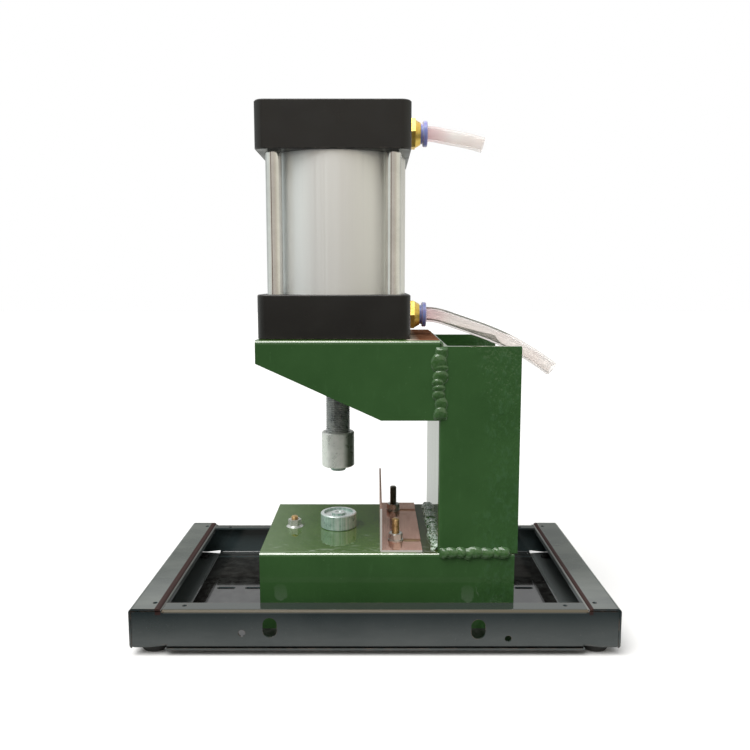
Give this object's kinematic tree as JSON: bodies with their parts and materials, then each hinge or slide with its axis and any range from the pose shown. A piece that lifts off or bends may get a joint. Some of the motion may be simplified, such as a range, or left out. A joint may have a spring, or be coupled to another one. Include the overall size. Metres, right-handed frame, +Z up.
{
  "type": "pneumatic rivet press",
  "caption": "Bench rivet press: an air cylinder on a welded C frame drives a punch onto a fixed die, with a sliding back gauge, in a folded steel tray on rubber feet.",
  "frame": {"origin": "middle of the tray on the surface that the rubber feet stand on", "axes": "+Z up; +X from the open throat towards the column; -Y is the front, the long side of the tray"},
  "size_m": [0.3576, 0.1972, 0.4021],
  "materials": {
    "tray_paint": "semi-gloss black paint",
    "frame_paint": "gloss green enamel",
    "black_head": "satin black anodised",
    "barrel_alloy": "satin clear anodised",
    "ground_steel": "ground and polished",
    "zinc_steel": "bright zinc plated",
    "die_steel": "turned and zinc plated",
    "black_steel": "black oxide",
    "yellow_zinc": "yellow zinc plated",
    "stainless": "bright rolled",
    "brass": "turned",
    "bronze": "plain",
    "blue_plastic": "moulded",
    "clear_tube": "clear extruded",
    "guide_plastic": "moulded",
    "black_rubber": "moulded"
  },
  "bodies": {
    "frame": {"bottom_plate": "tray_paint", "front_rail": "tray_paint", "back_rail": "tray_paint", "left_side_rail": "tray_paint", "right_side_rail": "tray_paint", "base_channel": "frame_paint", "column_channel": "frame_paint", "arm_channel": "frame_paint", "arm_weld_beads": "frame_paint", "column_weld_beads": "frame_paint", "lower_head": "black_head", "upper_head": "black_head", "barrel_tube": "barrel_alloy", "tie_rods": "ground_steel", "tie_rod_nuts": "zinc_steel", "mounting_sleeve_nuts": "zinc_steel", "cylinder_mounting_screws": "zinc_steel", "mounting_washers": "zinc_steel", "lower_die_nut": "zinc_steel", "tube_grips": "zinc_steel", "clamp_flange_nuts": "zinc_steel", "gauge_washers": "zinc_steel", "gauge_nuts": "zinc_steel", "lower_die": "die_steel", "foot_screws": "black_steel", "foot_nuts": "black_steel", "frame_clamp_bolts": "yellow_zinc", "gauge_bolts": "yellow_zinc", "upper_fitting_body": "brass", "lower_fitting_body": "brass", "rod_bushing": "bronze", "upper_hose": "clear_tube", "lower_hose": "clear_tube", "rubber_feet": "black_rubber", "barrel_seals": "black_rubber", "rod_seal": "black_rubber", "rod_wiper": "black_rubber", "tube_seals": "black_rubber"},
    "ram": {"piston": "barrel_alloy", "piston_seals": "black_rubber", "piston_guide_ring": "guide_plastic", "piston_nut": "zinc_steel", "piston_rod": "ground_steel", "upper_die_holder": "die_steel", "die_set_screw": "black_steel", "upper_die": "die_steel"},
    "gauge": {"back_gauge": "stainless"},
    "upper_ring": {"upper_release_ring": "blue_plastic"},
    "lower_ring": {"lower_release_ring": "blue_plastic"}
  },
  "joints": [
    {"name": "ram_stroke", "type": "slide", "parent": "frame", "child": "ram", "axis": [0, 0, -1], "range_m": [0, 0.036]},
    {"name": "gauge_slide", "type": "slide", "parent": "frame", "child": "gauge", "axis": [-1, 0, 0], "range_m": [-0.003, 0.015]},
    {"name": "upper_ring_press", "type": "slide", "parent": "frame", "child": "upper_ring", "axis": [-1, 0, 0], "range_m": [0, 0.0014]},
    {"name": "lower_ring_press", "type": "slide", "parent": "frame", "child": "lower_ring", "axis": [-1, 0, 0], "range_m": [0, 0.0014]}
  ]
}
